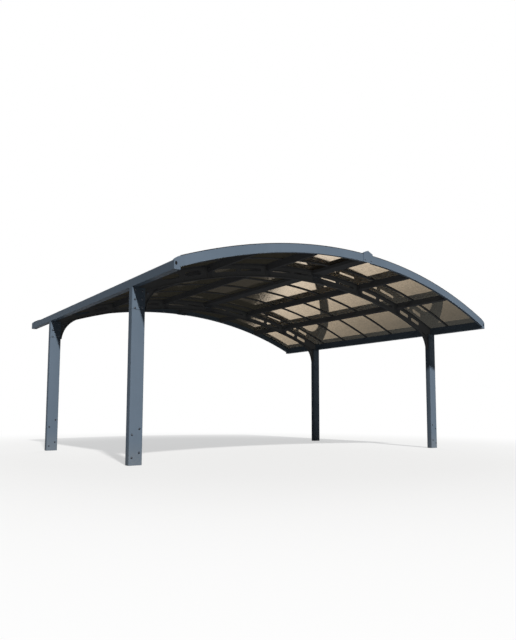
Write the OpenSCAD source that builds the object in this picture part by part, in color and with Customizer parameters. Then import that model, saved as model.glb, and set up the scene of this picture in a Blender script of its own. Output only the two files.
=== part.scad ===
// Open double carport: four posts, two slotted arches, and a bowed roof of tinted sheets.
// Millimetres. X runs across the span, -Y is the front end, Z is up from the ground.

/* [Overall] */
// Length of the roof over the two curved end fascias
roof_length = 5000; // [3600:50:7000]
// Width of the roof over the outer faces of the gutters
roof_width = 6100; // [5400:50:6800]
// Height of the gutters' underside above the ground
eave_height = 2075; // [1800:25:2700]
// Rise of the fascias' top edge from the gutters' inner face to the crown
roof_rise = 570; // [440:1:700]
// Height of the fascias' top edge over the gutters' outer wall, at their inner face
edge_lift = 55; // [45:1:80]

/* [Posts] */
// Distance between the front and rear posts, centre to centre
post_spacing = 2980; // [2000:20:3300]
// Post section across the span
post_w = 170; // [140:1:200]
// Post section along the roof
post_d = 68; // [60:1:90]
// Wall thickness of the post tube
post_wall = 3; // [2:0.5:5]
// Outer corner radius of the post tube
post_corner_r = 12; // [6:1:20]

/* [Foot brackets] */
// Height of the bracket's two uprights inside the post
foot_height = 450; // [300:10:600]
// Width of the uprights across the span
foot_w = 130; // [110:1:135]
// Thickness of the uprights
foot_wall = 5; // [3:0.5:8]
// Thickness of the bottom plate
foot_plate = 6; // [4:0.5:12]
// Diameter of the two anchor holes
anchor_hole_d = 14; // [10:0.5:18]
// Distance between the two anchor holes
anchor_spacing = 80; // [60:1:95]

/* [Gutters] */
// Width of the gutter across the span
gutter_w = 75; // [60:1:95]
// Height of the gutter's outer wall
gutter_h = 95; // [80:1:110]
// Wall thickness of the gutter
gutter_wall = 3; // [2:0.5:5]
// Width of the sloping lip that the sheets rest on
gutter_lip = 20; // [12:1:30]
// Thickness of the end caps
cap_plate = 5; // [3:0.5:8]
// Radius of the end cap's curve from the fascia down to the gutter's outer wall
cap_corner_r = 130; // [90:1:140]
// Width of the drain hole in the end cap
drain_hole_w = 22; // [16:1:26]
// Height of the drain hole in the end cap
drain_hole_h = 34; // [28:1:40]
// Drain hole centre from the gutter's outer face
drain_hole_inset = 25; // [18:1:32]
// Drain hole centre above the gutter's underside
drain_hole_rise = 64; // [44:1:66]

/* [Fascias] */
// Radial depth of the curved fascia
fascia_depth = 107; // [80:1:140]
// Thickness of the fascia along the roof
fascia_thick = 40; // [30:1:60]
// Wall thickness of the fascia section
fascia_wall = 4; // [2:0.5:6]
// Width of the lip along the fascia's top edge
fascia_lip = 20; // [10:1:28]

/* [Roof sheets] */
// Number of sheets side by side on each slope
panel_count = 8; // [6:1:10]
// Thickness of a sheet
panel_thick = 6; // [4:0.5:10]
// Depth of the sheets' top face below the fascia's top edge
panel_drop = 16; // [12:0.5:24]
// Reach of the sheets past the gutter's inner face
panel_overhang = 35; // [24:1:45]
// Start of the sheets from the roof's centre line
panel_start = 40; // [30:1:60]

/* [Glazing bars] */
// Width of the bars that join the sheets
bar_w = 30; // [20:1:40]
// Thickness of a bar's two flanges
bar_flange = 2.5; // [1.5:0.5:4]
// Thickness of the bar's web between two sheets
bar_web = 4; // [2:0.5:6]

/* [Purlins] */
// Distance between purlins across the span, counted from the gutter
purlin_pitch = 1000; // [900:5:1050]
// Width of a purlin
purlin_w = 50; // [40:1:60]
// Depth of a purlin
purlin_h = 90; // [70:1:110]
// Wall thickness of a purlin
purlin_wall = 3; // [2:0.5:4]
// Width of the cleat plates on the arch web
cleat_w = 70; // [62:1:90]
// Thickness of the cleat plates
cleat_plate = 6; // [4:0.5:8]
// Length of the cleat's tongue inside the purlin
cleat_reach = 60; // [40:1:90]

/* [Arches] */
// Radial depth of the arch beam
arch_depth = 176; // [160:1:220]
// Width of the arch's flanges along the roof
flange_w = 48; // [40:1:56]
// Thickness of the flanges
flange_t = 6; // [4:0.5:10]
// Thickness of the web
web_t = 8; // [6:0.5:12]
// Height of the two slots nearest the crown
crown_slot_h = 28; // [20:1:40]
// Height of the slots between the two purlins
middle_slot_h = 42; // [30:1:54]
// Height of the two slots nearest the knee
knee_slot_h = 58; // [44:1:66]
// Depth of the slots' centre line below the arch's top
slot_drop = 82; // [70:1:95]
// Distance from a purlin or the crown to the nearest slot's end
slot_margin = 105; // [90:1:130]
// Distance between the two slots of a bay
slot_gap = 80; // [50:1:120]
// Length of the splice plates at the crown
splice_w = 160; // [120:2:190]
// Thickness of the splice plates
splice_plate = 6; // [4:0.5:8]

/* [Knee brackets] */
// Radius of the knee's hollow curve
knee_radius = 420; // [340:5:520]
// Width of the knee's lower end beside the post
knee_lip = 20; // [16:1:40]
// Depth of the knee's lower end below the gutter's underside
knee_drop = 275; // [240:5:290]
// Distance from the curve's tangent point to the knee's tip
knee_tip = 60; // [50:1:90]
// Width of the knee's sleeve inside the post
sleeve_w = 120; // [100:1:130]
// Wall thickness of the sleeve
sleeve_wall = 5; // [3:0.5:8]

/* [Ridge] */
// Width of the ridge beam and its cover
ridge_w = 184; // [150:2:190]
// Depth of the ridge beam
ridge_h = 50; // [40:1:70]
// Wall thickness of the ridge beam and its cover
ridge_wall = 3; // [2:0.5:5]
// Height of the cover's eaves above the fascias' crown
cover_eave = 14; // [6:1:30]
// Height of the cover's peak above its eaves
cover_peak = 38; // [24:1:60]
// Thickness of the end plates on the ridge
ridge_cap_plate = 6; // [4:0.5:10]
// Reach of the end plates past the cover's outline
ridge_cap_edge = 5; // [3:0.5:10]

/* [Hidden] */
// Clearance between seated pieces
gap = 0.3;
// Facets around a full turn of the roof's arcs, of wide bends and of small round shapes
arc_fn = 1440;
bend_fn = 256;
round_fn = 64;
// Overshoot of cutting tools
cut = 10;

// Eaves and the roof's arc, seen from the front
half_width = roof_width / 2;
half_length = roof_length / 2;
gutter_in = half_width - gutter_w;
post_in = half_width - post_w;
post_x = half_width - post_w / 2;
arch_y = post_spacing / 2;
roof_r = (gutter_in * gutter_in + roof_rise * roof_rise) / (2 * roof_rise);
trough_top = eave_height + gutter_h;
crown = trough_top + edge_lift + roof_rise;
arc_z = crown - roof_r;

// Radii of the layers, from the top edge of the fascia down
panel_top_r = roof_r - panel_drop;
panel_low_r = panel_top_r - panel_thick;
bar_top_r = panel_top_r + gap + bar_flange;
bar_low_r = panel_low_r - gap - bar_flange;
seat_r = bar_low_r - gap;
arch_low_r = seat_r - arch_depth;
slot_r = seat_r - slot_drop;

// Panel joints along the roof
panel_pitch = (roof_length - 2 * fascia_thick) / panel_count;

// Ridge levels
ridge_half = ridge_w / 2;
ridge_top = arc_z + sqrt(seat_r * seat_r - ridge_half * ridge_half) - gap;
ridge_low = ridge_top - ridge_h;
cover_low = arc_z + bar_top_r;

// Knee curve: tangent to the arch's underside and to the knee's lower end
knee_top_r = arch_low_r - gap;
knee_x = post_in - knee_lip - knee_radius;
knee_z = arc_z + sqrt(pow(knee_top_r - knee_radius, 2) - knee_x * knee_x);
knee_foot = eave_height - knee_drop;
knee_tip_x = knee_x * knee_top_r / (knee_top_r - knee_radius) + knee_tip;
knee_back_top = arc_height(knee_top_r, post_in);

// Centre of the end cap's curve: tangent to the roof's arc, and through the gutter's outer top edge
edge_r = norm([half_width, trough_top - arc_z]);
corner_r = roof_r - cap_corner_r;
edge_angle = atan2(half_width, trough_top - arc_z);
corner_cos = (pow(edge_r, 2) + pow(corner_r, 2) - pow(cap_corner_r, 2)) / (2 * edge_r * corner_r);
corner_turn = acos(corner_cos);
corner_x = corner_r * sin(edge_angle - corner_turn);
corner_z = arc_z + corner_r * cos(edge_angle - corner_turn);

// Places of the purlins across the span, and the ends and slot heights of the three bays
purlin_x = [gutter_in - 2 * purlin_pitch, gutter_in - purlin_pitch];
bay_start = [0, purlin_x[0], purlin_x[1]];
bay_end = [purlin_x[0] - slot_margin, purlin_x[1] - slot_margin, knee_tip_x];
bay_slot_h = [crown_slot_h, middle_slot_h, knee_slot_h];

// Finishes
frame_paint = [0.41, 0.47, 0.53];
dark_paint = [0.22, 0.25, 0.29];
galvanised = [0.62, 0.64, 0.66];
bronze_sheet = [0.45, 0.38, 0.28, 0.55];

// Height of an arc of radius r about the roof's axis, at a distance x from the centre line
function arc_height(r, x) = arc_z + sqrt(r * r - x * x);

// Draws a piece of the right front quarter at another corner
module corner(side, end) {
    mirror([side < 0 ? 1 : 0, 0, 0])
        mirror([0, end > 0 ? 1 : 0, 0])
            children();
}

// Stands a flat outline up in the span's plane, with its depth along the roof
module across(depth) {
    rotate([90, 0, 0])
        linear_extrude(depth, center = true)
            children();
}

// Extrudes a span outline along the roof, from y_start over a length
module along(y_start, length) {
    translate([0, y_start + length, 0])
        rotate([90, 0, 0])
            linear_extrude(length)
                children();
}

// Sweeps a section about the roof's axis between two distances from the centre line
module swept(r, x_start, x_end) {
    angle_start = asin(x_start / r);
    angle_end = asin(x_end / r);
    translate([0, 0, arc_z])
        rotate([90, 0, 0])
            rotate([0, 0, 90 - angle_end])
                rotate_extrude(angle = angle_end - angle_start, $fn = arc_fn)
                    children();
}

// Flat section of a swept piece: radii from low to high, places along the roof from y_low to y_high
module section(r_low, r_high, y_low, y_high) {
    translate([r_low, -y_high])
        square([r_high - r_low, y_high - y_low]);
}

// Places a piece on the arc at a distance x, with its Z axis pointing out from the roof's axis
module on_arc(r, x) {
    translate([0, 0, arc_z])
        rotate([0, asin(x / r), 0])
            translate([0, 0, r])
                children();
}

// Full disc of an arc about the roof's axis, with a facet corner at the distance x
module arc_disc(r, x) {
    translate([0, arc_z])
        rotate(90 - asin(x / r))
            circle(r, $fn = arc_fn);
}

// Cuts a piece off upright at two distances from the centre line
module between(x_start, x_end) {
    intersection() {
        union()
            children();
        translate([x_start, -roof_length, 0])
            cube([x_end - x_start, 2 * roof_length, 2 * crown]);
    }
}

// Rectangle with round corners, centred
module round_rectangle(w, d, r) {
    square([w - 2 * r, d], center = true);
    square([w, d - 2 * r], center = true);
    for (x = [-1, 1], y = [-1, 1])
        translate([x * (w / 2 - r), y * (d / 2 - r)])
            circle(r, $fn = round_fn);
}

// Upright tube, slotted down its inner wall for the knee's web
module post() {
    color(frame_paint)
        translate([post_x, -arch_y, 0])
            difference() {
                linear_extrude(eave_height)
                    difference() {
                        round_rectangle(post_w, post_d, post_corner_r);
                        round_rectangle(post_w - 2 * post_wall, post_d - 2 * post_wall,
                                        post_corner_r - post_wall);
                    }
                translate([-post_w / 2 - cut, -web_t / 2 - gap, knee_foot])
                    cube([cut + 2 * post_wall, web_t + 2 * gap, knee_drop + cut]);
            }
}

// Anchor bracket inside the foot of a post: bottom plate and two uprights
module foot() {
    depth = post_d - 2 * post_wall - 2 * gap;
    color(galvanised)
        translate([post_x, -arch_y, 0])
            difference() {
                union() {
                    translate([-foot_w / 2, -depth / 2, 0])
                        cube([foot_w, depth, foot_plate]);
                    for (side = [-1, 1])
                        translate([-foot_w / 2, side * (depth - foot_wall) / 2 - foot_wall / 2, 0])
                            cube([foot_w, foot_wall, foot_height]);
                }
                for (side = [-1, 1])
                    translate([side * anchor_spacing / 2, 0, -cut])
                        cylinder(h = foot_plate + 2 * cut, d = anchor_hole_d, $fn = round_fn);
            }
}

// Outline of the knee beside the post, drawn in by an inset on every side but its tip
module knee_outline(inset) {
    difference() {
        intersection() {
            translate([knee_tip_x, knee_foot + inset])
                square([post_in - gap - inset - knee_tip_x, crown]);
            arc_disc(knee_top_r - inset, knee_tip_x);
        }
        translate([knee_x, knee_z])
            circle(knee_radius + inset, $fn = arc_fn);
    }
}

// Curved bracket between arch and post, with a web through the post's slot to a sleeve inside
module knee() {
    sleeve_d = post_d - 2 * post_wall - 2 * gap;
    sleeve_h = knee_drop - gap;
    sleeve_in = post_x - sleeve_w / 2;
    throat_x = post_in - flange_t;
    throat_low = knee_foot + 2 * flange_t;
    throat_high = knee_back_top - 2 * flange_t;
    color(dark_paint)
        translate([0, -arch_y, 0]) {
            across(web_t)
                knee_outline(0);
            across(flange_w)
                difference() {
                    knee_outline(0);
                    knee_outline(flange_t);
                }
            across(web_t)
                translate([throat_x, throat_low])
                    square([sleeve_in + sleeve_wall - throat_x, throat_high - throat_low]);
            translate([post_x, 0, knee_foot])
                linear_extrude(sleeve_h)
                    difference() {
                        square([sleeve_w, sleeve_d], center = true);
                        square([sleeve_w - 2 * sleeve_wall, sleeve_d - 2 * sleeve_wall], center = true);
                    }
        }
}

// Round-ended slot through the arch's web, following its curve
module slot(x_start, x_end, h) {
    end_r = h / 2;
    swept(slot_r, x_start + end_r, x_end - end_r)
        section(slot_r - end_r, slot_r + end_r, -web_t, web_t);
    for (x = [x_start + end_r, x_end - end_r])
        on_arc(slot_r, x)
            rotate([90, 0, 0])
                cylinder(h = 2 * web_t, d = h, center = true, $fn = round_fn);
}

// Half of an arch: web and two flanges, notched under the ridge and over the post
module arch() {
    heel_x = post_in - gap;
    end_x = gutter_in - gap;
    color(dark_paint)
        translate([0, -arch_y, 0])
            difference() {
                between(gap / 2, end_x) {
                    swept(arch_low_r, -cut, heel_x - gap)
                        section(arch_low_r, arch_low_r + flange_t, -flange_w / 2, flange_w / 2);
                    swept(arch_low_r, -cut, half_width)
                        section(arch_low_r + flange_t / 2, seat_r - flange_t / 2, -web_t / 2, web_t / 2);
                    swept(seat_r, ridge_half + 2 * gap, half_width)
                        section(seat_r - flange_t, seat_r, -flange_w / 2, flange_w / 2);
                    translate([heel_x - flange_t, -flange_w / 2, eave_height + gap])
                        cube([end_x - heel_x + flange_t, flange_w, flange_t]);
                }
                for (bay = [0 : 2]) {
                    start = bay_start[bay] + slot_margin;
                    length = (bay_end[bay] - start - slot_gap) / 2;
                    slot(start, start + length, bay_slot_h[bay]);
                    slot(start + length + slot_gap, bay_end[bay], bay_slot_h[bay]);
                }
                translate([-cut, -flange_w, ridge_low - gap])
                    cube([ridge_half + gap + cut, 2 * flange_w, roof_rise]);
                translate([heel_x, -flange_w, 0])
                    cube([post_w, 2 * flange_w, eave_height + gap]);
            }
}

// Pair of plates that joins the two halves of an arch at the crown
module crown_splice() {
    plate_low = arc_height(arch_low_r + flange_t, 0) + gap;
    plate_high = ridge_low - flange_t;
    color(dark_paint)
        translate([0, -arch_y, 0])
            for (face = [0, 1])
                mirror([0, face, 0])
                    translate([-splice_w / 2, web_t / 2 + gap, plate_low])
                        cube([splice_w, splice_plate, plate_high - plate_low]);
}

// Cleats on both faces of an arch: plate on the web and tongue inside the purlin
module purlin_cleats() {
    cleat_low = flange_t + 2 * gap - arch_depth;
    cleat_high = -flange_t - 2 * gap;
    tongue_w = purlin_w - 2 * purlin_wall - 2 * gap;
    tongue_low = purlin_wall - purlin_h;
    tongue_start = web_t / 2 + gap;
    tongue_end = flange_w / 2 + cleat_reach;
    color(dark_paint)
        translate([0, -arch_y, 0])
            for (side = [-1, 1], x = purlin_x, face = [0, 1])
                mirror([0, face, 0])
                    on_arc(seat_r, side * x) {
                        translate([-cleat_w / 2, tongue_start, cleat_low])
                            cube([cleat_w, cleat_plate, cleat_high - cleat_low]);
                        translate([-tongue_w / 2, tongue_start, tongue_low])
                            cube([tongue_w, tongue_end - tongue_start, cleat_high - tongue_low]);
                    }
}

// Purlin in three lengths: front overhang, between the arches, and rear overhang
module purlin(x) {
    inner = arch_y - flange_w / 2 - gap;
    outer = arch_y + flange_w / 2 + gap;
    far = half_length - fascia_thick - gap;
    bore_w = purlin_w - 2 * purlin_wall;
    bore_h = purlin_h - 2 * purlin_wall;
    color(dark_paint)
        for (run = [[-far, -outer], [-inner, inner], [outer, far]]) {
            length = run[1] - run[0];
            on_arc(seat_r, x)
                translate([0, run[0], -gap])
                    difference() {
                        translate([-purlin_w / 2, 0, -purlin_h])
                            cube([purlin_w, length, purlin_h]);
                        translate([-bore_w / 2, -cut, purlin_wall - purlin_h])
                            cube([bore_w, length + 2 * cut, bore_h]);
                    }
        }
}

// Open trough along the eave, with a taller inner wall that ends in a sloping lip
module gutter() {
    lip_x = gutter_in + gutter_lip;
    wall_in = gutter_in + gutter_wall;
    wall_out = half_width - gutter_wall;
    floor_z = eave_height + gutter_wall;
    color(frame_paint)
        along(-half_length + cap_plate, roof_length - 2 * cap_plate)
            polygon([
                [gutter_in, eave_height],
                [half_width, eave_height],
                [half_width, trough_top],
                [wall_out, trough_top],
                [wall_out, floor_z],
                [wall_in, floor_z],
                [wall_in, arc_height(seat_r - gutter_wall, wall_in)],
                [lip_x, arc_height(seat_r - gutter_wall, lip_x)],
                [lip_x, arc_height(seat_r, lip_x)],
                [gutter_in, arc_height(seat_r, gutter_in)]
            ]);
}

// Outline of the gutter's end, up to the fascia's top edge, drawn in by an inset at its top
module end_cap_outline(inset) {
    tangent_x = corner_x * (roof_r - inset) / corner_r;
    intersection() {
        arc_disc(roof_r - inset, gutter_in);
        translate([gutter_in, eave_height])
            square([gutter_w, roof_rise]);
        union() {
            translate([gutter_in, eave_height])
                square([gutter_w, gutter_h - inset]);
            translate([gutter_in, eave_height])
                square([tangent_x - gutter_in, roof_rise]);
            translate([corner_x, corner_z])
                circle(cap_corner_r - inset, $fn = bend_fn);
        }
    }
}

// Plate that closes a gutter's end, with a drain hole and a return along its top edge
module end_cap() {
    lip_z = trough_top + gap;
    hole_z = eave_height + drain_hole_rise;
    hole_x = half_width - drain_hole_inset;
    hole_shift = (drain_hole_h - drain_hole_w) / 2;
    color(frame_paint) {
        along(-half_length, cap_plate)
            difference() {
                end_cap_outline(0);
                translate([hole_x, hole_z])
                    square([drain_hole_w, 2 * hole_shift], center = true);
                for (side = [-1, 1])
                    translate([hole_x, hole_z + side * hole_shift])
                        circle(d = drain_hole_w, $fn = round_fn);
            }
        along(-half_length, fascia_thick)
            intersection() {
                difference() {
                    end_cap_outline(0);
                    end_cap_outline(fascia_wall);
                }
                translate([gutter_in, lip_z])
                    square([gutter_w, roof_rise]);
            }
    }
}

// Half of a curved end fascia: hollow box under the sheets' edge, with an upstand and lip
module fascia() {
    low_r = roof_r - fascia_depth;
    box_r = panel_low_r - gap;
    color(frame_paint)
        between(0, gutter_in - gap)
            swept(low_r, ridge_half + gap, gutter_in - gap) {
                section(low_r, roof_r, -half_length, -half_length + fascia_wall);
                section(roof_r - fascia_wall, roof_r, -half_length, -half_length + fascia_lip);
                difference() {
                    section(low_r, box_r, -half_length, -half_length + fascia_thick);
                    section(low_r + fascia_wall, box_r - fascia_wall,
                            -half_length + fascia_wall, -half_length + fascia_thick - fascia_wall);
                }
            }
}

// Hollow beam along the crown that carries the sheets' upper ends
module ridge_beam() {
    color(dark_paint)
        along(-half_length, roof_length)
            difference() {
                translate([-ridge_half, ridge_low])
                    square([ridge_w, ridge_h]);
                translate([-ridge_half + ridge_wall, ridge_low + ridge_wall])
                    square([ridge_w - 2 * ridge_wall, ridge_h - 2 * ridge_wall]);
            }
}

// House-shaped outline of the ridge: half width, bottom, eaves and peak
module ridge_outline(half, low, eave, peak) {
    polygon([[-half, low], [half, low], [half, eave], [0, peak], [-half, eave]]);
}

// Gabled cover over the sheets' upper ends
module ridge_cover() {
    eave = crown + cover_eave;
    inner = ridge_half - ridge_wall;
    inner_eave = eave - ridge_wall;
    color(frame_paint)
        along(-half_length, roof_length)
            difference() {
                ridge_outline(ridge_half, cover_low, eave, eave + cover_peak);
                ridge_outline(inner, cover_low - cut, inner_eave, inner_eave + cover_peak);
            }
}

// House-shaped plate on the ridge's end, over the joint of the two fascias
module ridge_cap() {
    half = ridge_half + ridge_cap_edge;
    low = crown - fascia_depth - ridge_cap_edge;
    eave = crown + cover_eave + ridge_cap_edge;
    color(frame_paint)
        along(-half_length - ridge_cap_plate, ridge_cap_plate)
            ridge_outline(half, low, eave, eave + cover_peak);
}

// Curved tinted sheets of the right slope, side by side from front to rear
module roof_panels() {
    edge = half_length - fascia_wall - 2 * gap;
    groove = bar_web / 2 + 2 * gap;
    color(bronze_sheet)
        for (i = [0 : panel_count - 1]) {
            joint = -half_length + fascia_thick + i * panel_pitch;
            y_low = i == 0 ? -edge : joint + groove;
            y_high = i == panel_count - 1 ? edge : joint + panel_pitch - groove;
            swept(roof_r, panel_start, gutter_in + panel_overhang)
                section(panel_low_r, panel_top_r, y_low, y_high);
        }
}

// Curved bars that hold the edges of neighbouring sheets
module glazing_bars() {
    color(dark_paint)
        for (i = [1 : panel_count - 1]) {
            y = -half_length + fascia_thick + i * panel_pitch;
            swept(roof_r, panel_start, gutter_in + panel_overhang) {
                section(bar_low_r, bar_low_r + bar_flange, y - bar_w / 2, y + bar_w / 2);
                section(bar_low_r, bar_top_r, y - bar_web / 2, y + bar_web / 2);
                section(bar_top_r - bar_flange, bar_top_r, y - bar_w / 2, y + bar_w / 2);
            }
        }
}

corner(-1, -1) post();  // front_left_post
corner(1, -1) post();  // front_right_post
corner(-1, 1) post();  // rear_left_post
corner(1, 1) post();  // rear_right_post
corner(-1, -1) foot();  // front_left_foot
corner(1, -1) foot();  // front_right_foot
corner(-1, 1) foot();  // rear_left_foot
corner(1, 1) foot();  // rear_right_foot
corner(-1, -1) knee();  // front_left_knee
corner(1, -1) knee();  // front_right_knee
corner(-1, 1) knee();  // rear_left_knee
corner(1, 1) knee();  // rear_right_knee
corner(-1, -1) arch();  // front_left_arch
corner(1, -1) arch();  // front_right_arch
corner(-1, 1) arch();  // rear_left_arch
corner(1, 1) arch();  // rear_right_arch
corner(1, -1) crown_splice();  // front_crown_splice
corner(1, 1) crown_splice();  // rear_crown_splice
corner(1, -1) purlin_cleats();  // front_purlin_cleats
corner(1, 1) purlin_cleats();  // rear_purlin_cleats
purlin(-purlin_x[1]);  // left_lower_purlin
purlin(-purlin_x[0]);  // left_upper_purlin
purlin(purlin_x[0]);  // right_upper_purlin
purlin(purlin_x[1]);  // right_lower_purlin
corner(-1, -1) gutter();  // left_gutter
corner(1, -1) gutter();  // right_gutter
corner(-1, -1) end_cap();  // front_left_end_cap
corner(1, -1) end_cap();  // front_right_end_cap
corner(-1, 1) end_cap();  // rear_left_end_cap
corner(1, 1) end_cap();  // rear_right_end_cap
corner(-1, -1) fascia();  // front_left_fascia
corner(1, -1) fascia();  // front_right_fascia
corner(-1, 1) fascia();  // rear_left_fascia
corner(1, 1) fascia();  // rear_right_fascia
ridge_beam();
ridge_cover();
corner(1, -1) ridge_cap();  // front_ridge_cap
corner(1, 1) ridge_cap();  // rear_ridge_cap
corner(-1, -1) roof_panels();  // left_roof_panels
corner(1, -1) roof_panels();  // right_roof_panels
corner(-1, -1) glazing_bars();  // left_glazing_bars
corner(1, -1) glazing_bars();  // right_glazing_bars
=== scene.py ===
import math
import bmesh
import bpy
from mathutils import Matrix, Vector


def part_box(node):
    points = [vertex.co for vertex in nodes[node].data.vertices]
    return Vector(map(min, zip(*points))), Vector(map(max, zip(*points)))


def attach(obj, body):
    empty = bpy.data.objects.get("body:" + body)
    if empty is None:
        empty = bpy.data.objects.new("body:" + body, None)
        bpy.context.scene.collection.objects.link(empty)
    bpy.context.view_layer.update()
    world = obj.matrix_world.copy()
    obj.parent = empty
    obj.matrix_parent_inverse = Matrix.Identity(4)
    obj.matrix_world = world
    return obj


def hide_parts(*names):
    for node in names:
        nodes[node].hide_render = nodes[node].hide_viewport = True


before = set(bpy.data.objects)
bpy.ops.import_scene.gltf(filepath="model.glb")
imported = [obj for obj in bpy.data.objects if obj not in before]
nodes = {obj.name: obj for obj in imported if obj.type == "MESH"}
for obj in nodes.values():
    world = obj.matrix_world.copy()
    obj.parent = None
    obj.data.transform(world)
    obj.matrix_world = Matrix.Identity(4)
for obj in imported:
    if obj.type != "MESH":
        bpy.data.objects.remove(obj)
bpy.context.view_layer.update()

print("frame loaded,", len(nodes), "nodes")

ends = {"front": -1, "rear": 1}
sides = {"left": -1, "right": 1}


# the roof's arc, read back from the right slope of sheets: its axis lies under the centre line
sheetPoints = [v.co for v in nodes["right_roof_panels"].data.vertices]
upperPoint = max(sheetPoints, key=lambda p: p.z)
outerPoint = max(sheetPoints, key=lambda p: p.x)
axisZ = ((outerPoint.x ** 2 + outerPoint.z ** 2 - upperPoint.x ** 2 - upperPoint.z ** 2)
         / (2 * (outerPoint.z - upperPoint.z)))
sheetTopR = math.hypot(upperPoint.x, upperPoint.z - axisZ)
roof = {
    "sheetThick": 0.006,
    "barPitch": 0.615,        # sheets along the roof
    "barsPerSlope": 7,
    "barWidth": 0.030,
    "barRise": 0.0028,        # bar's top over the sheets
    "fasciaRise": 0.016,      # fascia's top edge over the sheets
}
sheetLowR = sheetTopR - roof["sheetThick"]
fasciaTopR = sheetTopR + roof["fasciaRise"]
firstBar = -(roof["barsPerSlope"] - 1) / 2 * roof["barPitch"]
barPlaces = [firstBar + i * roof["barPitch"] for i in range(roof["barsPerSlope"])]
print("roof arc radius %.3f m, axis at %.3f m" % (sheetTopR, axisZ))


# shader maths: a wire is one socket, and sums or products of wires add Math nodes
class Wire:
    def __init__(self, finish, socket):
        self.finish = finish
        self.socket = socket

    def maths(self, operation, first, second):
        return self.finish.node("ShaderNodeMath", {"operation": operation}, {0: first, 1: second})

    def __add__(self, other):
        return self.maths("ADD", self, other)

    def __radd__(self, other):
        return self.maths("ADD", other, self)

    def __sub__(self, other):
        return self.maths("SUBTRACT", self, other)

    def __rsub__(self, other):
        return self.maths("SUBTRACT", other, self)

    def __mul__(self, other):
        return self.maths("MULTIPLY", self, other)

    def __rmul__(self, other):
        return self.maths("MULTIPLY", other, self)


# the node tree of one material or of the world
class Finish:
    def __init__(self, name, world=False):
        maker = bpy.data.worlds if world else bpy.data.materials
        self.data = maker.new(name)
        self.data.use_nodes = True
        self.tree = self.data.node_tree
        self.tree.nodes.clear()

    # any node: its type, its settings, its socket values or links; gives its first or named output
    def node(self, kind, settings=None, sockets=None, output=0):
        made = self.tree.nodes.new(kind)
        for key, value in (settings or {}).items():
            setattr(made, key, value)
        for key, value in (sockets or {}).items():
            if isinstance(value, Wire):
                self.tree.links.new(value.socket, made.inputs[key])
            else:
                made.inputs[key].default_value = value
        return Wire(self, made.outputs[output]) if made.outputs else made

    def place(self):
        return self.node("ShaderNodeTexCoord", output="Object")

    # the place, drawn out along an axis by small factors
    def stretched(self, factors):
        return self.node("ShaderNodeVectorMath", {"operation": "MULTIPLY"}, {0: self.place(), 1: factors})

    def noise(self, scale, detail=2.0, rough=0.5, at=None):
        return self.node("ShaderNodeTexNoise", None,
                         {"Vector": at or self.place(), "Scale": scale, "Detail": detail, "Roughness": rough})

    def ramped(self, value, low, high, toLow=0.0, toHigh=1.0):
        return self.node("ShaderNodeMapRange", {"interpolation_type": "SMOOTHSTEP"},
                         {"Value": value, "From Min": low, "From Max": high, "To Min": toLow, "To Max": toHigh})

    def mixed(self, factor, first, second):
        return self.node("ShaderNodeMix", {"data_type": "RGBA"}, {0: factor, 6: first, 7: second}, output=2)

    def height(self):
        return self.node("ShaderNodeSeparateXYZ", None, {0: self.place()}, output=2)

    # how much a face looks up
    def facingUp(self):
        normal = self.node("ShaderNodeNewGeometry", output="Normal")
        return self.node("ShaderNodeSeparateXYZ", None, {0: normal}, output=2)

    def bump(self, value, strength, distance):
        return self.node("ShaderNodeBump", None, {"Height": value, "Strength": strength, "Distance": distance})

    def principled(self, sockets):
        return self.node("ShaderNodeBsdfPrincipled", None, sockets)

    def surface(self, shader):
        kind = "ShaderNodeOutputWorld" if isinstance(self.data, bpy.types.World) else "ShaderNodeOutputMaterial"
        self.node(kind, None, {"Surface": shader})
        return self.data


def rgb(red, green, blue):
    return (red, green, blue, 1.0)


# satin powder coat: faint clouding, rain streaks, dust on ledges and splash at the feet
framePaint = {"colour": rgb(0.152, 0.200, 0.262), "shade": rgb(0.136, 0.180, 0.236),
              "dust": rgb(0.30, 0.30, 0.285), "roughness": 0.42, "gloss": 0.015,
              "dustOnTop": 0.35, "splash": 0.30}
# arches, purlins, bars and sheet ends: the frame's slate paint, set greyer and lighter to stand for its tone in
# the shade under the bronze sheets, a painted shade colour
archPaintShadeTone = {"colour": rgb(0.205, 0.214, 0.228), "shade": rgb(0.178, 0.186, 0.200),
             "dust": rgb(0.10, 0.10, 0.098), "roughness": 0.46, "gloss": 0.0,
             "dustOnTop": 0.25, "splash": 0.0}
paintGrain = {"clouds": 1.6, "streaks": (26.0, 26.0, 1.3), "peel": 260.0, "grit": 70.0,  # noise scales
              "splashLow": 0.01, "splashHigh": 0.34, "bump": 0.12, "bumpDepth": 0.0006}


def makePaint(name, look):
    paint = Finish(name)
    clouds = paint.noise(paintGrain["clouds"], 4.0, 0.55)
    streaks = paint.noise(1.0, 3.0, 0.6, at=paint.stretched(paintGrain["streaks"]))
    peel = paint.noise(paintGrain["peel"], 2.0, 0.5)
    grit = paint.noise(paintGrain["grit"], 4.0, 0.65)
    tone = paint.ramped(clouds * 0.8 + streaks * 0.2, 0.30, 0.70)
    colour = paint.mixed(tone, look["shade"], look["colour"])
    ledges = paint.ramped(paint.facingUp(), 0.5, 0.98) * look["dustOnTop"]
    dry = paint.ramped(paint.height(), paintGrain["splashLow"], paintGrain["splashHigh"])
    feet = (1 - dry) * look["splash"]
    dust = (ledges + feet) * paint.ramped(grit, 0.36, 0.64, 0.35, 1.0)
    colour = paint.mixed(dust, colour, look["dust"])
    rough = look["roughness"] + 0.10 * tone + 0.30 * dust
    skin = paint.bump(peel + grit * 0.5, paintGrain["bump"], paintGrain["bumpDepth"])
    shader = paint.principled({"Base Color": colour, "Roughness": rough, "Specular IOR Level": look["gloss"],
                               "Normal": skin})
    return paint.surface(shader)


# zinc with its crystal spangle
zincLook = {"pale": rgb(0.62, 0.64, 0.66), "dark": rgb(0.44, 0.46, 0.48), "spangle": 55.0, "fine": 190.0,
            "roughness": 0.42}


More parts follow.
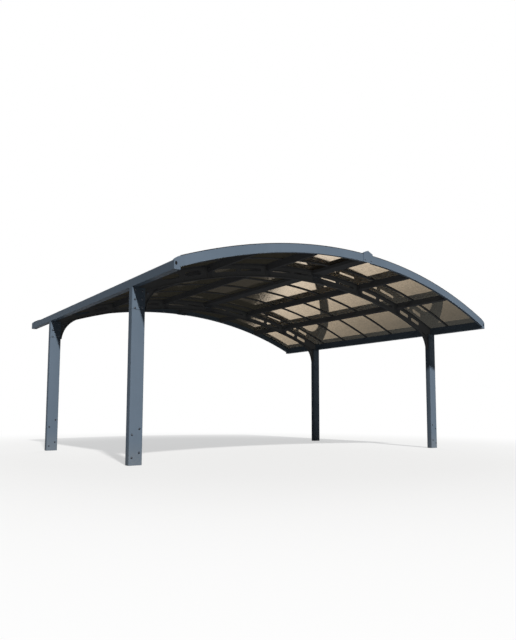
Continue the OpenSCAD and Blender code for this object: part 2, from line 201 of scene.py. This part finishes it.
def makeZinc(name, look):
    zinc = Finish(name)
    cells = zinc.node("ShaderNodeTexVoronoi", None, {"Vector": zinc.place(), "Scale": look["spangle"]},
                      output="Color")
    spangle = zinc.node("ShaderNodeSeparateColor", None, {0: cells})
    fine = zinc.noise(look["fine"], 3.0, 0.6)
    colour = zinc.mixed(spangle * 0.7 + fine * 0.3, look["dark"], look["pale"])
    shader = zinc.principled({"Base Color": colour, "Metallic": 0.85,
                              "Roughness": look["roughness"] + 0.2 * fine,
                              "Normal": zinc.bump(fine, 0.08, 0.0004)})
    return zinc.surface(shader)


# bolts: turned steel
boltLook = {"colour": rgb(0.060, 0.070, 0.086), "worn": rgb(0.036, 0.042, 0.054), "roughness": 0.26,
            "blotch": 120.0, "scratch": 900.0}


def makeSteel(name, look):
    steel = Finish(name)
    blotch = steel.noise(look["blotch"], 3.0, 0.6)
    colour = steel.mixed(steel.ramped(blotch, 0.35, 0.65), look["worn"], look["colour"])
    shader = steel.principled({"Base Color": colour, "Metallic": 0.7,
                               "Roughness": look["roughness"] + 0.2 * blotch,
                               "Normal": steel.bump(steel.noise(look["scratch"]), 0.05, 0.0002)})
    return steel.surface(shader)


# black rubber of the seals
rubberLook = {"colour": rgb(0.006, 0.007, 0.009), "chalk": rgb(0.015, 0.016, 0.019), "roughness": 0.62,
              "gloss": 0.15, "bloom": 9.0, "grain": 700.0}


def makeRubber(name, look):
    rubber = Finish(name)
    bloom = rubber.noise(look["bloom"], 4.0, 0.6)
    grain = rubber.noise(look["grain"])
    colour = rubber.mixed(rubber.ramped(bloom, 0.42, 0.7), look["colour"], look["chalk"])
    shader = rubber.principled({"Base Color": colour, "Roughness": look["roughness"] + 0.2 * bloom,
                                "Specular IOR Level": look["gloss"],
                                "Normal": rubber.bump(grain, 0.15, 0.0003)})
    return rubber.surface(shader)


# bronze-tinted sheet: brown when looked at squarely, a mirror at an angle whose tan colour is a painted
# reflection of sunlit ground, and painted shade at a flat slant, where a dark cover stands for the reflection
# of shaded ground
sheetLook = {"tint": rgb(0.235, 0.232, 0.218), "mirror": rgb(0.90, 0.70, 0.47), "faded": rgb(0.78, 0.61, 0.41),
             "body": rgb(0.104, 0.080, 0.056), "dust": rgb(0.17, 0.14, 0.105), "roughness": 0.05,
             "shine": (0.07, 0.75), "shineFrom": 0.53, "shineTo": 0.80, "mottle": 0.50,
             "squareCover": 0.55, "squareFrom": 0.20, "squareTo": 0.56,
             "slantShade": 0.97, "slantFrom": 0.729, "slantTo": 0.764, "slantShadeDrift": 0.019,
             "glow": rgb(0.094, 0.093, 0.080), "glowShare": 0.5,
             "specks": 150.0, "blots": 25.0, "film": 2.2, "runs": (2.0, 30.0, 2.0)}  # noise scales


def makeSheet(name, look):
    sheet = Finish(name)
    speckle = sheet.noise(look["specks"], 3.0, 0.7)
    mottle = sheet.noise(look["blots"], 4.0, 0.7)
    film = sheet.noise(look["film"], 5.0, 0.62)
    streaks = sheet.noise(1.0, 4.0, 0.6, at=sheet.stretched(look["runs"]))
    dust = sheet.ramped(film * 0.6 + streaks * 0.4, 0.45, 0.75)
    facing = sheet.node("ShaderNodeLayerWeight", None, {"Blend": 0.5}, output="Facing")
    grain = sheet.ramped(speckle * 0.3 + mottle * 0.7, 0.3, 0.7, -0.5, 0.5)
    waves = sheet.bump(speckle * 0.3 + film, 0.05, 0.0006)
    shine = sheet.ramped(facing, look["shineFrom"], look["shineTo"], *look["shine"])
    shine = shine * (1 + look["mottle"] * grain)
    # painted reflection: the mirror's tan colour stands for the sunlit ground it reflects, dulled where the
    # dust film lies
    mirror = sheet.principled({"Base Color": sheet.mixed(dust, look["mirror"], look["faded"]), "Metallic": 1.0,
                               "Roughness": look["roughness"] + 0.05 * dust, "Normal": waves})
    clear = sheet.node("ShaderNodeBsdfTransparent", None, {"Color": look["tint"]})
    glassy = sheet.node("ShaderNodeMixShader", None, {0: shine, 1: clear, 2: mirror})
    along = sheet.node("ShaderNodeSeparateXYZ", None, {0: sheet.place()}, output=1)
    slant = facing + look["slantShadeDrift"] * along + 0.03 * grain  # painted shade at a flat slant sets in later towards the front of the roof
    # painted shade: at a flat slant the dark body covers the sheet, standing for the dark reflection of shaded
    # ground
    cover = sheet.ramped(slant, look["slantFrom"], look["slantTo"], 0.0, look["slantShade"])
    cover = cover + sheet.ramped(facing, look["squareFrom"], look["squareTo"], look["squareCover"], 0.0)
    # the body colour is the sheet's smoky brown seen squarely, and painted shade where it covers at a flat
    # slant
    body = sheet.principled({"Base Color": sheet.mixed(dust, look["body"], look["dust"]),
                             "Specular IOR Level": 0.0, "Roughness": 0.12 + 0.14 * dust, "Normal": waves})
    glow = sheet.node("ShaderNodeBsdfTranslucent", None, {"Color": look["glow"]})
    body = sheet.node("ShaderNodeMixShader", None, {0: look["glowShare"], 1: body, 2: glow})
    return sheet.surface(sheet.node("ShaderNodeMixShader", None, {0: cover, 1: glassy, 2: body}))


paints = {
    "frame_paint": makePaint("slatePaint", framePaint),
    # painted shade colour: the slate paint in its shaded tone
    "arch_paint": makePaint("slatePaintShadeTone", archPaintShadeTone),
    "galvanised_steel": makeZinc("dullZinc", zincLook),
    "bronze_sheet": makeSheet("bronzeSheet", sheetLook),
}
boltSteel = makeSteel("boltSteel", boltLook)
sealRubber = makeRubber("sealRubber", rubberLook)

for node in nodes.values():
    for place in node.material_slots:
        place.material = paints[place.material.name.split(".")[0]]
print("finishes on", len(nodes), "nodes")


# one mesh object of the part, riding on its only body
def addPiece(name, mesh, finish, creaseAngle=35):
    bmesh.ops.recalc_face_normals(mesh, faces=mesh.faces)
    data = bpy.data.meshes.new(name)
    mesh.to_mesh(data)
    mesh.free()
    data.polygons.foreach_set("use_smooth", [True] * len(data.polygons))
    data.set_sharp_from_angle(angle=math.radians(creaseAngle))
    piece = bpy.data.objects.new(name, data)
    bpy.context.scene.collection.objects.link(piece)
    data.materials.append(finish)
    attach(piece, "root")
    return piece


# turns a profile of (radius, height) pairs about the frame's Z axis; radius 0 closes it
def addTurned(mesh, profile, frameOf, steps):
    rings = []
    for radius, height in profile:
        if radius == 0:
            rings.append([mesh.verts.new(frameOf @ Vector((0, 0, height)))])
            continue
        angles = [2 * math.pi * i / steps for i in range(steps)]
        rings.append([mesh.verts.new(frameOf @ Vector((radius * math.cos(a), radius * math.sin(a), height)))
                      for a in angles])
    for low, high in zip(rings, rings[1:]):
        for i in range(steps):
            j = (i + 1) % steps
            if len(low) == 1:
                mesh.faces.new((low[0], high[i], high[j]))
            elif len(high) == 1:
                mesh.faces.new((low[i], low[j], high[0]))
            else:
                mesh.faces.new((low[i], low[j], high[j], high[i]))


# skins a row of closed rings of points and closes both ends
def addLoft(mesh, rings):
    rows = [[mesh.verts.new(point) for point in ring] for ring in rings]
    for low, high in zip(rows, rows[1:]):
        for i in range(len(low)):
            j = (i + 1) % len(low)
            mesh.faces.new((low[i], low[j], high[j], high[i]))
    mesh.faces.new(rows[0])
    mesh.faces.new(list(reversed(rows[-1])))


# sweeps a closed outline of (radius, y) pairs about the roof's axis between two x places
def addArched(mesh, outline, fromX, toX, radius, steps):
    fromTurn = math.asin(fromX / radius)
    toTurn = math.asin(toX / radius)
    turns = [fromTurn + (toTurn - fromTurn) * i / steps for i in range(steps + 1)]
    addLoft(mesh, [[(r * math.sin(turn), y, axisZ + r * math.cos(turn)) for r, y in outline] for turn in turns])


# sweeps a closed outline of (x, z) pairs straight along the roof
def addStraight(mesh, outline, fromY, toY):
    addLoft(mesh, [[(x, y, z) for x, z in outline] for y in (fromY, toY)])


# frame with its Z axis along a direction, at a point
def aimed(point, direction):
    return Matrix.Translation(point) @ Vector(direction).to_track_quat("Z", "Y").to_matrix().to_4x4()


# dome-headed bolt with a washer and a round socket, metres
bolt = {"washerR": 0.0135, "washerT": 0.0018, "headR": 0.0105, "headH": 0.0072, "socketR": 0.0034,
        "socketDepth": 0.0034, "steps": 20}


def boltProfile(size=1.0):
    w, t = bolt["washerR"], bolt["washerT"]
    r, h = bolt["headR"], bolt["headH"]
    dome = [(r * math.cos(a), t + h * 0.25 + (h * 0.75) * math.sin(a)) for a in (0.0, 0.35, 0.7, 1.0)]
    s, floor = bolt["socketR"], t + h - bolt["socketDepth"]
    socket = [(s, t + h), (s, floor), (0, floor)]
    profile = [(0, 0), (w, 0), (w, t * 0.7), (w - t * 0.3, t), (r, t)] + dome + socket
    return [(radius * size, height * size) for radius, height in profile]


# posts as deep along the roof as the photograph shows, in place of the slimmer packed ones
postTube = {"depth": 0.096, "wall": 0.003, "corner": 0.012, "cornerSteps": 6}


def postBox(end, side):
    low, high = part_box(f"{end}_{side}_post")
    spare = Vector((0, (postTube["depth"] - (high.y - low.y)) / 2, 0))
    return low - spare, high + spare


def roundedRing(low, high, inset, z):
    corner, steps = postTube["corner"], postTube["cornerSteps"]
    r = corner - inset
    left, right = low.x + corner, high.x - corner
    near, far = low.y + corner, high.y - corner
    ring = []
    for quarter, (x, y) in enumerate(((right, far), (left, far), (left, near), (right, near))):
        for i in range(steps + 1):
            turn = math.pi / 2 * (quarter + i / steps)
            ring.append((x + r * math.cos(turn), y + r * math.sin(turn), z))
    return ring


def addPostTube(end, side):
    low, high = postBox(end, side)
    wall = postTube["wall"]
    mesh = bmesh.new()
    rings = [roundedRing(low, high, inset, z)
             for inset, z in ((0, low.z), (0, high.z), (wall, high.z), (wall, low.z))]
    rows = [[mesh.verts.new(point) for point in ring] for ring in rings]
    for near, far in zip(rows, rows[1:] + rows[:1]):
        for i in range(len(near)):
            j = (i + 1) % len(near)
            mesh.faces.new((near[i], near[j], far[j], far[i]))
    tube = addPiece(f"{end}_{side}_post_tube", mesh, paints["frame_paint"])
    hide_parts(f"{end}_{side}_post")


for end in ends:
    for side in sides:
        addPostTube(end, side)
print("posts")


# rows of bolts on the posts' front and rear faces, measured from the outer and inner faces and the ground
postBolts = {
    "outerInset": 0.035, "innerInset": 0.042,
    "endFace": {"outer": (0.088, 0.350, 1.820, 1.925, 2.036), "inner": (0.143, 0.416, 1.835, 1.937, 2.030)},
    "bayFace": {"outer": (0.073, 0.372, 1.820, 1.925, 2.036), "inner": (0.129, 0.482, 1.835, 1.937, 2.030)},
}
kneeBolts = {"inset": 0.050, "height": 2.030, "web": 0.004}


def addPostBolts(end, side):
    low, high = postBox(end, side)
    outer, inner = (low.x, high.x) if side == "left" else (high.x, low.x)
    inward = 1 if side == "left" else -1
    mesh = bmesh.new()
    for faceY, direction in ((low.y, -1), (high.y, 1)):
        heights = postBolts["endFace" if direction == ends[end] else "bayFace"]
        spots = [(outer + inward * postBolts["outerInset"], z) for z in heights["outer"]]
        spots += [(inner - inward * postBolts["innerInset"], z) for z in heights["inner"]]
        for x, z in spots:
            addTurned(mesh, boltProfile(), aimed((x, faceY, z), (0, direction, 0)), bolt["steps"])
    addPiece(f"{end}_{side}_post_bolts", mesh, boltSteel)
    mesh = bmesh.new()
    middle = (low.y + high.y) / 2
    for direction in (-1, 1):
        spot = (inner + inward * kneeBolts["inset"], middle + direction * kneeBolts["web"], kneeBolts["height"])
        addTurned(mesh, boltProfile(), aimed(spot, (0, direction, 0)), bolt["steps"])
    addPiece(f"{end}_{side}_knee_bolts", mesh, boltSteel)


for end in ends:
    for side in sides:
        addPostBolts(end, side)
print("post and knee bolts")


# thin joint round three faces of a post, at the foot of its knee
postSeam = {"height": 1.808, "width": 0.003, "proud": 0.0006, "sunk": 0.0004, "corner": 0.012, "cornerSteps": 6,
            "innerStop": 0.014}


def addPostSeam(end, side):
    low, high = postBox(end, side)
    outer, inner = (low.x, high.x) if side == "left" else (high.x, low.x)
    inward = 1 if side == "left" else -1
    r = postSeam["corner"]
    stations = [((inner - inward * postSeam["innerStop"], low.y), (0, -1))]
    for cornerY, fromTurn in ((low.y + r, 0.0), (high.y - r, 0.5)):
        for i in range(postSeam["cornerSteps"] + 1):
            turn = math.pi * (fromTurn + 0.5 * i / postSeam["cornerSteps"])
            out = (-inward * math.sin(turn), -math.cos(turn))
            stations.append(((outer + inward * r + r * out[0], cornerY + r * out[1]), out))
    stations.append(((inner - inward * postSeam["innerStop"], high.y), (0, 1)))
    bottom = postSeam["height"] - postSeam["width"] / 2
    top = postSeam["height"] + postSeam["width"] / 2
    rings = []
    for (x, y), (outX, outY) in stations:
        near = (x - outX * postSeam["sunk"], y - outY * postSeam["sunk"])
        far = (x + outX * postSeam["proud"], y + outY * postSeam["proud"])
        rings.append([(*near, bottom), (*far, bottom), (*far, top), (*near, top)])
    mesh = bmesh.new()
    addLoft(mesh, rings)
    addPiece(f"{end}_{side}_post_seam", mesh, sealRubber)


for end in ends:
    for side in sides:
        addPostSeam(end, side)
print("post seams")


# dark oval rubber disc sunk in the drain hole of each end cap, painted shade that stands for the dark inside of
# the hole
drainShadePlug = {"inset": 0.025, "rise": 0.064, "width": 0.0214, "height": 0.0334, "steps": 12, "floor": 0.0036,
             "flange": 0.0026, "proud": 0.0010, "root": 0.0044, "rim": 0.0010, "taper": 0.0018}


def addDrainShadePlug(end, side):
    low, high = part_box(f"{end}_{side}_end_cap")
    middleX = low.x + drainShadePlug["inset"] if side == "left" else high.x - drainShadePlug["inset"]
    middleZ = low.z + drainShadePlug["rise"]
    face = low.y if end == "front" else high.y
    shift = (drainShadePlug["height"] - drainShadePlug["width"]) / 2
    rings = []
    flange, proud = drainShadePlug["flange"], drainShadePlug["proud"]
    for wider, depth in ((0, drainShadePlug["root"]), (0, 0), (flange, 0), (flange, -proud),
                         (-drainShadePlug["rim"], -proud), (-drainShadePlug["taper"], drainShadePlug["floor"])):
        r = drainShadePlug["width"] / 2 + wider
        ring = []
        for half in (1, -1):
            for i in range(drainShadePlug["steps"] + 1):
                turn = math.pi * (i / drainShadePlug["steps"] + (0 if half > 0 else 1))
                ring.append((middleX + r * math.cos(turn), face - ends[end] * depth,
                             middleZ + half * shift + r * math.sin(turn)))
        rings.append(ring)
    mesh = bmesh.new()
    addLoft(mesh, rings)
    # painted shade: a dark disc in place of the hole's shaded inside
    addPiece(f"{end}_{side}_drain_shade_plug", mesh, sealRubber)


for end in ends:
    for side in sides:
        addDrainShadePlug(end, side)
print("drain plugs")


# bolts through the crown splice plates
spliceBolts = {"columns": (-0.055, -0.022, 0.022, 0.055), "margin": 0.026, "size": 0.9}


def addSpliceBolts(end):
    low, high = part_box(f"{end}_crown_splice")
    mesh = bmesh.new()
    for faceY, direction in ((low.y, -1), (high.y, 1)):
        for x in spliceBolts["columns"]:
            for z in (low.z + spliceBolts["margin"], high.z - spliceBolts["margin"]):
                spot = aimed((x, faceY, z), (0, direction, 0))
                addTurned(mesh, boltProfile(spliceBolts["size"]), spot, bolt["steps"])
    addPiece(f"{end}_splice_bolts", mesh, boltSteel)


for end in ends:
    addSpliceBolts(end)
print("splice bolts")


# hexagon screws with rubber washers along the glazing bars and the ridge cover
screw = {"washerR": 0.0075, "washerT": 0.002, "washerTaper": 0.86, "washerSteps": 14,
         "headR": 0.0050, "headH": 0.0038, "headTaper": 0.8, "headSides": 6}
screwRows = {"perBar": 6, "fromX": 0.22, "toX": 2.90, "perRidge": 9, "ridgeInset": 0.018}


def addScrew(mesh, frameOf):
    w, t = screw["washerR"], screw["washerT"]
    r, h = screw["headR"], screw["headH"]
    taper = screw["headTaper"]
    addTurned(mesh, [(0, 0), (w, 0), (w * screw["washerTaper"], t), (0, t)], frameOf, screw["washerSteps"])
    addTurned(mesh, [(0, t), (r, t), (r, t + h * taper), (r * taper, t + h), (0, t + h)], frameOf,
              screw["headSides"])


def addBarScrews(side):
    mesh = bmesh.new()
    topR = sheetTopR + roof["barRise"]
    for y in barPlaces:
        for i in range(screwRows["perBar"]):
            share = i / (screwRows["perBar"] - 1)
            x = screwRows["fromX"] + (screwRows["toX"] - screwRows["fromX"]) * share
            turn = sides[side] * math.asin(x / topR)
            out = Vector((math.sin(turn), 0, math.cos(turn)))
            addScrew(mesh, aimed(Vector((0, y, axisZ)) + out * topR, out))
    addPiece(f"{side}_bar_screws", mesh, boltSteel)


for side in sides:
    addBarScrews(side)
print("bar screws")


# screws down both slopes of the ridge cover, and bolts through its end plates
ridgeCaps = {"boltX": 0.062, "boltRise": 0.030, "size": 0.7}


def addRidgeScrews():
    low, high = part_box("ridge_cover")
    points = [v.co for v in nodes["ridge_cover"].data.vertices]
    eave = max(p.z for p in points if p.x > high.x - 0.0005)
    mesh = bmesh.new()
    for side in sides.values():
        x = side * (high.x - screwRows["ridgeInset"])
        z = high.z + (eave - high.z) * abs(x) / high.x
        out = Vector((side * (high.z - eave), 0, high.x)).normalized()
        for i in range(screwRows["perRidge"]):
            y = low.y + (high.y - low.y) * (i + 0.5) / screwRows["perRidge"]
            addScrew(mesh, aimed((x, y, z), out))
    addPiece("ridge_screws", mesh, boltSteel)


def addRidgeCapBolts(end):
    low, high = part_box(f"{end}_ridge_cap")
    face = low.y if end == "front" else high.y
    mesh = bmesh.new()
    for x in (-ridgeCaps["boltX"], ridgeCaps["boltX"]):
        spot = (x, face, low.z + ridgeCaps["boltRise"])
        addTurned(mesh, boltProfile(ridgeCaps["size"]), aimed(spot, (0, ends[end], 0)), bolt["steps"])
    addPiece(f"{end}_ridge_cap_bolts", mesh, boltSteel)


addRidgeScrews()
for end in ends:
    addRidgeCapBolts(end)
print("ridge screws")


# bolts through the purlins' sides into their cleats, beside each arch
purlinBolts = {"places": {"upper": 0.975, "lower": 1.975}, "topDrop": 0.0034, "middle": 0.045,
               "halfWidth": 0.025, "archY": 1.49, "reach": 0.058, "size": 0.9}


def addPurlinBolts(side, level):
    seatR = sheetLowR - purlinBolts["topDrop"]
    turn = sides[side] * math.asin(purlinBolts["places"][level] / seatR)
    out = Vector((math.sin(turn), 0, math.cos(turn)))
    along = Vector((math.cos(turn), 0, -math.sin(turn)))
    mesh = bmesh.new()
    for archY in (-purlinBolts["archY"], purlinBolts["archY"]):
        for y in (archY - purlinBolts["reach"], archY + purlinBolts["reach"]):
            for face in (-1, 1):
                middle = Vector((0, y, axisZ)) + out * (seatR - purlinBolts["middle"])
                spot = middle + along * face * purlinBolts["halfWidth"]
                addTurned(mesh, boltProfile(purlinBolts["size"]), aimed(spot, along * face), bolt["steps"])
    addPiece(f"{side}_{level}_purlin_bolts", mesh, boltSteel)


for side in sides:
    for level in purlinBolts["places"]:
        addPurlinBolts(side, level)
print("purlin bolts")


# rubber beads along both edges of each bar, above and below the sheets
bead = {"width": 0.004, "height": 0.0032, "steps": 28, "fromX": 0.045, "toX": 3.005}


def addBarBeads(side):
    mesh = bmesh.new()
    half = roof["barWidth"] / 2
    w, h = bead["width"], bead["height"]
    fromX, toX = sides[side] * bead["fromX"], sides[side] * bead["toX"]
    for y in barPlaces:
        for edge in (-1, 1):
            for baseR, grow in ((sheetTopR, 1), (sheetLowR, -1)):
                inner = y + edge * half
                outline = [(baseR, inner), (baseR, inner + edge * w),
                           (baseR + grow * h * 0.6, inner + edge * w * 0.7),
                           (baseR + grow * h, inner + edge * w * 0.25), (baseR + grow * h, inner)]
                addArched(mesh, outline, fromX, toX, sheetTopR, bead["steps"])
    addPiece(f"{side}_bar_beads", mesh, sealRubber, creaseAngle=50)


for side in sides:
    addBarBeads(side)
print("bar beads")


# deeper strip under each bar, between the ridge, the purlins and the gutter
barCover = {"spans": ((0.096, 0.946), (1.004, 1.944), (2.004, 2.972)), "flange": 0.0028, "depth": 0.0125,
            "topHalf": 0.0135, "lowHalf": 0.0100, "steps": 12}


def addBarCovers(side):
    top = sheetLowR - barCover["flange"]
    low = top - barCover["depth"]
    mesh = bmesh.new()
    for y in barPlaces:
        outline = [(top, y - barCover["topHalf"]), (low, y - barCover["lowHalf"]),
                   (low, y + barCover["lowHalf"]), (top, y + barCover["topHalf"])]
        for fromX, toX in barCover["spans"]:
            addArched(mesh, outline, sides[side] * fromX, sides[side] * toX, sheetTopR, barCover["steps"])
    addPiece(f"{side}_bar_covers", mesh, paints["arch_paint"])


for side in sides:
    addBarCovers(side)
print("bar covers")


# channel that closes the lower end of each sheet over the trough, between the bars
sheetEnd = {"edgeX": 3.0100, "leg": 0.012, "wall": 0.0018, "barGap": 0.021, "endGap": 0.010, "length": 4.980}
trough = {"straps": 6, "strapWidth": 0.020, "wall": 0.003, "gutterWidth": 0.075, "drop": 0.004,
          "thick": 0.002, "hook": 0.014, "gap": 0.0003}


def addSheetEnds(side):
    mesh = bmesh.new()
    edge = math.asin(sheetEnd["edgeX"] / fasciaTopR)
    wall = sheetEnd["wall"]
    inner = edge - sheetEnd["leg"] / sheetTopR
    lip = edge + wall / sheetTopR
    corners = [(sheetTopR, inner), (sheetTopR + wall, inner), (sheetTopR + wall, lip),
               (sheetLowR - wall, lip), (sheetLowR - wall, inner), (sheetLowR, inner),
               (sheetLowR, edge), (sheetTopR, edge)]
    outline = [(sides[side] * r * math.sin(turn), axisZ + r * math.cos(turn)) for r, turn in corners]
    last = sheetEnd["length"] / 2 + sheetEnd["barGap"] - sheetEnd["endGap"]
    stops = [-last, *barPlaces, last]
    for low, high in zip(stops, stops[1:]):
        addStraight(mesh, outline, low + sheetEnd["barGap"], high - sheetEnd["barGap"])
    addPiece(f"{side}_sheet_ends", mesh, paints["arch_paint"])


# flat straps across the trough, hooked over inside its outer wall
def addTroughStraps(side):
    low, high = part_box(f"{side}_gutter")
    outer = low.x if side == "left" else high.x
    inward = 1 if side == "left" else -1
    points = [v.co for v in nodes[f"{side}_gutter"].data.vertices]
    top = max(p.z for p in points if abs(p.x - outer) < 0.0005) - trough["drop"]
    near = outer + inward * (trough["wall"] + trough["gap"])
    far = outer + inward * (trough["gutterWidth"] - trough["wall"] - trough["gap"])
    t, hookZ = trough["thick"], top - trough["hook"]
    outline = [(near, top), (far, top), (far, hookZ), (far - inward * t, hookZ), (far - inward * t, top - t),
               (near + inward * t, top - t), (near + inward * t, hookZ), (near, hookZ)]
    mesh = bmesh.new()
    for i in range(trough["straps"]):
        y = low.y + (high.y - low.y) * (i + 0.5) / trough["straps"]
        addStraight(mesh, outline, y - trough["strapWidth"] / 2, y + trough["strapWidth"] / 2)
    addPiece(f"{side}_trough_straps", mesh, paints["galvanised_steel"])


for side in sides:
    addSheetEnds(side)
    addTroughStraps(side)
print("sheet ends and trough straps")


# dark rubber strip along the fascias' top edge, drawn as a thin dark line along it
fasciaLip = {"rise": 0.0045, "depth": 0.017, "drop": 0.002, "fromX": 0.098, "toX": 2.972, "steps": 48,
             "round": 0.0015}


def addFasciaLip(end, side):
    low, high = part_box(f"{end}_{side}_fascia")
    face = low.y if end == "front" else high.y
    inward = -ends[end]
    r = fasciaLip["round"]
    front = face - inward * r
    back = face + inward * fasciaLip["depth"]
    base = fasciaTopR - fasciaLip["drop"]
    top = fasciaTopR + fasciaLip["rise"]
    outline = [(base, front), (top - r, front), (top, front + inward * r), (top, back),
               (fasciaTopR, back), (fasciaTopR, face), (base, face)]
    mesh = bmesh.new()
    fromX, toX = sides[side] * fasciaLip["fromX"], sides[side] * fasciaLip["toX"]
    addArched(mesh, outline, fromX, toX, fasciaTopR, fasciaLip["steps"])
    addPiece(f"{end}_{side}_fascia_lip", mesh, sealRubber, creaseAngle=50)


for end in ends:
    for side in sides:
        addFasciaLip(end, side)
print("fascia lips")


# camera at the photograph's angle: place and turns in metres and degrees, sizes in pixels of its frame
camera = {"place": (-5.7185, -7.1788, 0.5944), "yaw": 37.2898, "pitch": 4.7373, "roll": 0.3191,
          "focal": 531.73, "centre": (243.0, 369.95), "frame": (516, 640), "sensor": 36.0}


def addCamera(look):
    yaw, pitch, roll = (math.radians(look[key]) for key in ("yaw", "pitch", "roll"))
    ahead = Vector((math.sin(yaw) * math.cos(pitch), math.cos(yaw) * math.cos(pitch), math.sin(pitch)))
    level = Vector((math.cos(yaw), -math.sin(yaw), 0))
    upright = level.cross(ahead)
    right = level * math.cos(roll) + upright * math.sin(roll)
    up = upright * math.cos(roll) - level * math.sin(roll)
    width, height = look["frame"]
    data = bpy.data.cameras.new("photoCamera")
    data.sensor_width = look["sensor"]
    data.lens = look["focal"] * look["sensor"] / height
    data.shift_x = (width / 2 - look["centre"][0]) / height
    data.shift_y = (look["centre"][1] - height / 2) / height
    data.clip_end = 400
    cam = bpy.data.objects.new("photoCamera", data)
    turn = Matrix((right, up, -ahead)).transposed().to_4x4()
    cam.matrix_world = Matrix.Translation(look["place"]) @ turn
    bpy.context.scene.collection.objects.link(cam)
    bpy.context.scene.camera = cam


addCamera(camera)


# pale floor that takes the shadow and fades to white away from the object
floorLook = {"radius": 120.0, "drop": 0.002, "seen": rgb(0.86, 0.86, 0.86), "bounce": rgb(0.13, 0.13, 0.13),
             "fadeNear": 0.55, "fadeFrom": 3.5, "fadeTo": 9.0}


# 1 for what the camera sees, also in a mirror or through a sheet, and 0 for light on matt faces
def seenRays(finish):
    kinds = [finish.node("ShaderNodeLightPath", output=kind)
             for kind in ("Is Camera Ray", "Is Glossy Ray", "Is Transmission Ray")]
    seen = finish.node("ShaderNodeClamp", None, {"Value": kinds[0] + kinds[1] + kinds[2]})
    depth = finish.node("ShaderNodeLightPath", output="Diffuse Depth")
    return seen * (1 - finish.node("ShaderNodeClamp", None, {"Value": depth}))


def addFloor(look):
    stone = Finish("paleFloor")
    seen = seenRays(stone)
    away = stone.node("ShaderNodeVectorMath", {"operation": "LENGTH"}, {0: stone.place()}, output="Value")
    fade = stone.ramped(away, look["fadeFrom"], look["fadeTo"], look["fadeNear"]) * seen
    colour = stone.mixed(seen, look["bounce"], look["seen"])
    matt = stone.node("ShaderNodeBsdfDiffuse", None, {"Color": colour})
    white = stone.node("ShaderNodeEmission", None, {"Color": rgb(1, 1, 1), "Strength": 1.0})
    finish = stone.surface(stone.node("ShaderNodeMixShader", None, {0: fade, 1: matt, 2: white}))
    mesh = bmesh.new()
    bmesh.ops.create_circle(mesh, cap_ends=True, segments=96, radius=look["radius"])
    bmesh.ops.translate(mesh, verts=mesh.verts, vec=(0, 0, -look["drop"]))
    data = bpy.data.meshes.new("paleFloor")
    mesh.to_mesh(data)
    mesh.free()
    data.materials.append(finish)
    floor = bpy.data.objects.new("paleFloor", data)
    bpy.context.scene.collection.objects.link(floor)


addFloor(floorLook)


# key light from the front left, a weak broad one from behind, and an even sky
keyLight = {"towards": (-0.358, -1.238, 1.0), "strength": 3.5, "softness": 3.0, "colour": (1.0, 0.98, 0.95)}
backLight = {"towards": (0.75, 1.0, 0.60), "strength": 0.8, "softness": 50.0, "colour": (0.93, 0.97, 1.0)}
sky = {"fill": rgb(0.90, 0.95, 1.0), "fillStrength": 0.10}


def addLight(name, look):
    data = bpy.data.lights.new(name, "SUN")
    data.energy = look["strength"]
    data.angle = math.radians(look["softness"])
    data.color = look["colour"]
    lamp = bpy.data.objects.new(name, data)
    lamp.rotation_euler = Vector(look["towards"]).to_track_quat("Z", "Y").to_euler()
    bpy.context.scene.collection.objects.link(lamp)


def addSky(look):
    air = Finish("studioSky", world=True)
    seen = seenRays(air)
    fill = air.node("ShaderNodeBackground", None, {"Color": look["fill"], "Strength": look["fillStrength"]})
    white = air.node("ShaderNodeBackground", None, {"Color": rgb(1, 1, 1), "Strength": 1.0})
    bpy.context.scene.world = air.surface(air.node("ShaderNodeMixShader", None, {0: seen, 1: fill, 2: white}))


addLight("keyLight", keyLight)
addLight("backLight", backLight)
addSky(sky)
bpy.context.scene.view_settings.view_transform = "Standard"
print("camera, floor and light")
